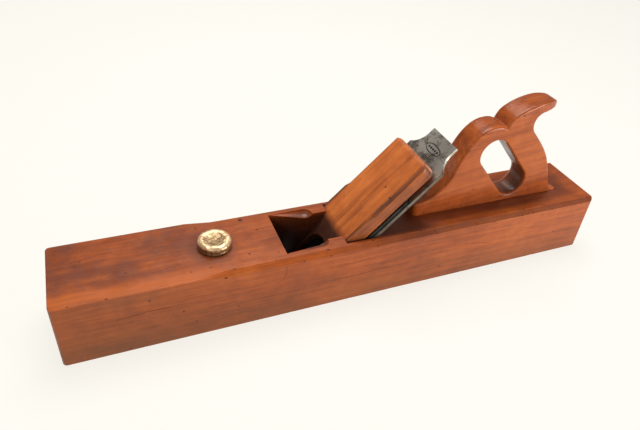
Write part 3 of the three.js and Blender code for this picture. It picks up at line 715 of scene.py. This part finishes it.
def toteMarks(tree, spot, turned, colour):
    # painted shade: the wall of the finger hole is darkened to a dull brown
    top, foot = Vector(toteLook["holeTop"]), Vector(toteLook["holeFoot"])
    along = (foot - top).normalized()
    fromTop = vectorCalc(tree, "SUBTRACT", spot, top)
    share = vectorCalc(tree, "DOT_PRODUCT", fromTop, along)
    share = calc(tree, "MINIMUM", calc(tree, "MAXIMUM", share, 0.0), (foot - top).length)
    away = vectorCalc(tree, "SUBTRACT", fromTop, scaled(tree, along, share))
    reach = vectorCalc(tree, "LENGTH", vectorCalc(tree, "MULTIPLY", away, (1, 0, 1)))
    size = calc(tree, "ABSOLUTE", splitAxes(tree, spot)[1])
    wall = times(tree, spread(tree, reach, toteLook["holeReach"] + 1.5 * mm, toteLook["holeReach"]),
                 spread(tree, size, 12.5 * mm, 9 * mm))
    return blendColour(tree, times(tree, wall, toteLook["holeDark"]), colour, toteLook["holeShade"])


def makeTote():
    piece = cleanCopy("tote", "closedTote")
    soften(piece, toteLook["voxel"], toteLook["rounds"])
    piece.data.materials.clear()
    piece.data.materials.append(beech("toteBeech", toteLook["grainTilt"], toteLook["heart"], 9.0, stains=0.1,
                                      rough=toteLook["rough"], extras=toteMarks))
    shadeSmooth(piece, 60)
    finishPiece(piece, "stock", "tote_beech", "tote")


wedgeLook = {
    "voxel": 0.7 * mm,
    "rounds": 3,
    "grainTilt": math.radians(44.5),
    "heart": (0, 0.05, 0.2),
    "tint": (1.38, 1.65, 2.1),
    "chamferGrime": (0.06, 0.02, 0.009),
    # painted shade on the part inside the throat
    "throatDark": 0.9,      # how black the part inside the throat is
    "throatShadow": (0.012, 0.008, 0.01),
}


def wedgeMarks(tree, spot, turned, colour):
    # dark hand grime on the two long chamfers
    size = calc(tree, "ABSOLUTE", splitAxes(tree, turned)[1])
    chamfer = times(tree, spread(tree, size, 25.5 * mm, 27.5 * mm), spread(tree, size, 30.5 * mm, 29.6 * mm))
    cloud = noise(tree, stretched(tree, turned, 26, 300), 1.0, 4.0, 0.6, 61)
    dirt = times(tree, chamfer, spread(tree, cloud, 0.35, 0.62, 0.25, 0.9))
    colour = blendColour(tree, dirt, colour, wedgeLook["chamferGrime"])
    # painted shade: the part that sits down in the throat is darkened nearly to black
    low = spread(tree, splitAxes(tree, spot)[2], 71 * mm, 62 * mm, 0, wedgeLook["throatDark"])
    return blendColour(tree, low, colour, wedgeLook["throatShadow"])


def makeWedge():
    piece = cleanCopy("wedge", "forkedWedge")
    soften(piece, wedgeLook["voxel"], wedgeLook["rounds"])
    piece.data.materials.clear()
    piece.data.materials.append(beech("wedgeBeech", wedgeLook["grainTilt"], wedgeLook["heart"], 15.0,
                                      stains=0.12, extras=wedgeMarks, tint=wedgeLook["tint"]))
    shadeSmooth(piece, 60)
    finishPiece(piece, "wedge", "wedge_beech", "wedge")


ironLook = {
    "clean": (0.54, 0.5, 0.43),
    "stain": (0.1, 0.085, 0.066),
    # painted shade on the iron's long narrow sides
    "sideShade": (0.09, 0.07, 0.05),
    "sideShadeShare": 0.8,
    "ink": (0.035, 0.032, 0.028),
    "inkStain": (0.012, 0.01, 0.009),
    "ovalFromTop": 16 * mm,     # the punched oval and the row of ticks below it
    "ovalHalfLength": 11.5 * mm,
    "ovalHalfWidth": 4.4 * mm,
    "ovalDots": 28,
    "dotRadius": 0.8 * mm,
    "diamonds": 5,
    "diamondRadius": 1.6 * mm,
    "diamondPitch": 0.31,       # as a share of the oval's half length
    "rowFromTop": 26.9 * mm,
    "rowLength": 15 * mm,
    "ticks": 8,
    "tickWidth": 1.1 * mm,
    "tickLength": 4.2 * mm,
    "punchDepth": 0.35 * mm,
}


def jointNamed(name):
    return next(joint for joint in frame["record"]["behaviour"]["joints"] if joint["name"] == name)


def ironFrame(origin):
    # X across the iron, Y up it and Z out of its face
    up, out = (Vector(jointNamed(name)["axis"]).normalized() for name in ("cap_slide", "screw_turn"))
    stand = Matrix((up.cross(out), up, out)).transposed().to_4x4()
    stand.translation = origin
    return stand


def rowOf(tree, shape, count, first, step):
    line = addNode(tree, "GeometryNodeMeshLine", {"Count": count, "Start Location": first, "Offset": step})
    return addNode(tree, "GeometryNodeInstanceOnPoints",
                   {"Points": line.outputs[0], "Instance": shape}).outputs[0]


def punchGrower(material):
    # an oval of round dots with a row of diamonds inside it, and a row of ticks
    tree, sizes = newGrower("punchMarks", halfLength=0.01, halfWidth=0.004, dots=30, ticks=8, rowDrop=0.011,
                            rowLength=0.014, depth=0.0003)
    ring = addNode(tree, "GeometryNodeCurvePrimitiveCircle", {"Resolution": 64, "Radius": 1.0}).outputs[0]
    oval = joinAxes(tree, sizes["halfLength"], sizes["halfWidth"], 1.0)
    ring = addNode(tree, "GeometryNodeTransform", {"Geometry": ring, "Scale": oval}).outputs[0]
    spots = addNode(tree, "GeometryNodeCurveToPoints", {"Curve": ring, "Count": sizes["dots"]}, mode="COUNT")
    deep = times(tree, sizes["depth"], 2.0)
    dot = addNode(tree, "GeometryNodeMeshCylinder",
                  {"Vertices": 8, "Radius": ironLook["dotRadius"], "Depth": deep}).outputs["Mesh"]
    dots = addNode(tree, "GeometryNodeInstanceOnPoints", {"Points": spots.outputs["Points"], "Instance": dot})
    diamond = addNode(tree, "GeometryNodeMeshCylinder",
                      {"Vertices": 4, "Radius": ironLook["diamondRadius"], "Depth": deep}).outputs["Mesh"]
    pitch = times(tree, sizes["halfLength"], ironLook["diamondPitch"])
    count = ironLook["diamonds"]
    first = joinAxes(tree, times(tree, pitch, (1 - count) / 2))
    diamonds = rowOf(tree, diamond, count, first, joinAxes(tree, pitch))
    size = joinAxes(tree, ironLook["tickWidth"], ironLook["tickLength"], deep)
    tick = addNode(tree, "GeometryNodeMeshCube", {"Size": size}).outputs["Mesh"]
    pitch = calc(tree, "DIVIDE", sizes["rowLength"], calc(tree, "SUBTRACT", sizes["ticks"], 1))
    first = joinAxes(tree, times(tree, sizes["rowLength"], -0.5), times(tree, sizes["rowDrop"], -1.0))
    ticks = rowOf(tree, tick, sizes["ticks"], first, joinAxes(tree, pitch))
    joined = tree.nodes.new("GeometryNodeJoinGeometry")
    for part in (dots.outputs[0], diamonds, ticks):
        tree.links.new(part, joined.inputs[0])
    endGrower(tree, joined.outputs[0], material)
    return tree


def ironMarks(tree, spot, colour):
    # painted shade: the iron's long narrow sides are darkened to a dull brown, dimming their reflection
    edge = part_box("cutting_iron")[1].y
    size = calc(tree, "ABSOLUTE", splitAxes(tree, spot)[1])
    darkened = spread(tree, size, edge - 0.6 * mm, edge - 0.3 * mm, 0, ironLook["sideShadeShare"])
    return blendColour(tree, darkened, colour, ironLook["sideShade"])


metalBevel = 0.22 * mm      # on the corners of the steel and brass pieces


def metalPiece(node, name, finish):
    piece = cleanCopy(node, name)
    piece.data.materials.clear()
    piece.data.materials.append(finish)
    return bevelEdges(piece, metalBevel)


def makeCuttingIron():
    steel = agedMetal("agedSteel", 3.0, ironLook["clean"], ironLook["stain"], stainShare=0.85, scale=95,
                      extras=ironMarks)
    inked = agedMetal("inkedSteel", 9.0, ironLook["ink"], ironLook["inkStain"], rough=0.6)
    iron = metalPiece("cutting_iron", "cuttingIron", steel)
    top = max((point.co for point in iron.data.vertices), key=lambda co: co.z)
    marks = grow(blankObject("marks"), punchGrower(inked), halfLength=ironLook["ovalHalfLength"],
                 halfWidth=ironLook["ovalHalfWidth"], dots=ironLook["ovalDots"], ticks=ironLook["ticks"],
                 rowDrop=ironLook["rowFromTop"] - ironLook["ovalFromTop"], rowLength=ironLook["rowLength"],
                 depth=ironLook["punchDepth"])
    stand = ironFrame(Vector((top.x, 0, top.z)))
    marks.data.transform(stand @ Matrix.Translation((0, -ironLook["ovalFromTop"], 0)))
    cutAway(iron, marks)
    crispShade(iron)
    finishPiece(iron, "iron", "iron_steel", "cutting_iron")


capLook = {
    "black": (0.045, 0.042, 0.04),
    "blackStain": (0.02, 0.014, 0.01),
    "brass": (0.42, 0.27, 0.09),
    "brassStain": (0.12, 0.07, 0.02),
}


def makeCap():
    black = agedMetal("blackenedSteel", 5.0, capLook["black"], capLook["blackStain"], rough=0.5)
    brass = agedMetal("dullBrass", 7.0, capLook["brass"], capLook["brassStain"], rough=0.36)
    cap = metalPiece("cap_iron", "capIron", black)
    crispShade(cap)
    finishPiece(cap, "cap", "cap_steel", "cap_iron")
    boss = metalPiece("cap_boss", "capBoss", brass)
    shadeSmooth(boss, 30)
    finishPiece(boss, "cap", "boss_brass", "cap_boss")


screwLook = {
    "clean": (0.16, 0.15, 0.135),
    "stain": (0.05, 0.035, 0.025),
    "threadPitch": 1.25 * mm,
    "threadLength": 11.5 * mm,
    "threadRadius": 3.9 * mm,
    "threadDepth": 0.3 * mm,
}


def threadGrower(material):
    # the blade that cuts the screw's thread
    tree, sizes = newGrower("screwThread", radius=0.0039, length=0.011, turns=9.0, blade=0.0003)
    path = addNode(tree, "GeometryNodeCurveSpiral",
                   {"Resolution": 24, "Rotations": sizes["turns"], "Start Radius": sizes["radius"],
                    "End Radius": sizes["radius"], "Height": sizes["length"]}).outputs[0]
    endGrower(tree, sweptBlade(tree, path, 4, sizes["blade"]), material)
    return tree


def makeScrew():
    dull = agedMetal("screwSteel", 8.0, screwLook["clean"], screwLook["stain"], rough=0.4)
    screw = metalPiece("cap_screw", "capScrew", dull)
    stand = ironFrame(Vector(jointNamed("screw_turn")["pos_m"]))
    tip = max((stand.inverted() @ point.co).z for point in screw.data.vertices)
    blade = grow(blankObject("blade"), threadGrower(dull), length=screwLook["threadLength"],
                 turns=screwLook["threadLength"] / screwLook["threadPitch"],
                 radius=screwLook["threadRadius"], blade=screwLook["threadDepth"])
    blade.data.transform(stand @ Matrix.Translation((0, 0, tip + mm - screwLook["threadLength"])))
    cutAway(screw, blade)
    shadeSmooth(screw, 30)
    finishPiece(screw, "screw", "screw_steel", "cap_screw")


buttonLook = {
    "clean": (0.84, 0.58, 0.33),
    "dull": (0.27, 0.165, 0.075),
    "stain": (0.11, 0.07, 0.03),
    "dishRadius": 9 * mm,
    "metallic": 0.85,
    "voxel": 0.45 * mm,
    "rounds": 2,
    "dentSize": 3.2 * mm,
    "dentDepth": 0.22 * mm,
    "wobble": 0.35 * mm,        # how far the worn rim wanders
}


def hammerGrower(material):
    # presses shallow dents into the head, never out of it
    tree, sizes = newGrower("hammerDents", dentSize=0.002, dentDepth=0.0003, wobble=0.0003, foot=0.07)
    place = tree.nodes.new("GeometryNodeInputPosition").outputs[0]
    scale = calc(tree, "DIVIDE", 1.0, sizes["dentSize"])
    cells = addNode(tree, "ShaderNodeTexVoronoi", {"Vector": place, "Scale": scale})
    dent = times(tree, spread(tree, cells.outputs["Distance"], 0.75, 0.0), sizes["dentDepth"])
    slow = times(tree, spread(tree, noise(tree, place, 190, 1.0, 0.5, 3.0), 0.35, 0.65), sizes["wobble"])
    height = calc(tree, "SUBTRACT", splitAxes(tree, place)[2], sizes["foot"])
    head = spread(tree, height, 0.0, 2.5 * mm)
    push = times(tree, times(tree, plus(tree, dent, slow), head), -1.0)
    normal = tree.nodes.new("GeometryNodeInputNormal").outputs[0]
    pressed = addNode(tree, "GeometryNodeSetPosition",
                      {"Geometry": sizes["Geometry"], "Offset": scaled(tree, normal, push)}).outputs[0]
    endGrower(tree, pressed, material)
    return tree


def hammeredBrass():
    made, tree, shader = newMaterial("hammeredBrass")
    spot = addNode(tree, "ShaderNodeTexCoord").outputs["Object"]
    centre = ((buttonLow.x + buttonHigh.x) / 2, 0, 0)
    x, y, z = splitAxes(tree, vectorCalc(tree, "SUBTRACT", spot, centre))
    reach = vectorCalc(tree, "LENGTH", joinAxes(tree, x, y))
    ragged = noise(tree, spot, 330, 3.0, 0.6, 77)
    reach = plus(tree, reach, times(tree, calc(tree, "SUBTRACT", ragged, 0.5), 4.5 * mm))
    blotch = spread(tree, noise(tree, spot, 260, 3.0, 0.6, 21), 0.45, 0.62)
    dish = times(tree, spread(tree, reach, buttonLook["dishRadius"] + 2 * mm, buttonLook["dishRadius"]), 0.62)
    # the lower side is darker: partly patina, partly a painted reflection of the wood below
    low = spread(tree, z, buttonHigh.z - 2.0 * mm, buttonHigh.z - 4.6 * mm)
    dark = calc(tree, "MAXIMUM", dish, times(tree, low, 0.85))
    colour = blendColour(tree, dark, buttonLook["clean"], buttonLook["dull"])
    stain = times(tree, blotch, plus(tree, times(tree, dark, 0.5), 0.15))
    colour = blendColour(tree, stain, colour, buttonLook["stain"])
    link(tree, colour, shader, "Base Color")
    shader.inputs["Metallic"].default_value = buttonLook["metallic"]
    link(tree, spread(tree, ragged, 0.3, 0.7, 0.36, 0.56), shader, "Roughness")
    addBump(tree, shader, plus(tree, ragged, times(tree, blotch, -0.6)), 0.12 * mm, 0.7)
    return made


def makeButton():
    brass = hammeredBrass()
    piece = cleanCopy("strike_button", "strikeButton")
    soften(piece, buttonLook["voxel"], buttonLook["rounds"])
    grow(piece, hammerGrower(brass), dentSize=buttonLook["dentSize"], dentDepth=buttonLook["dentDepth"],
         wobble=buttonLook["wobble"], foot=stockHigh.z + mm)
    piece.data.materials.clear()
    piece.data.materials.append(brass)
    shadeSmooth(piece, 60)
    finishPiece(piece, "stock", "button_brass", "strike_button")


makeStock()
makeTote()
makeWedge()
makeCuttingIron()
makeCap()
makeScrew()
makeButton()
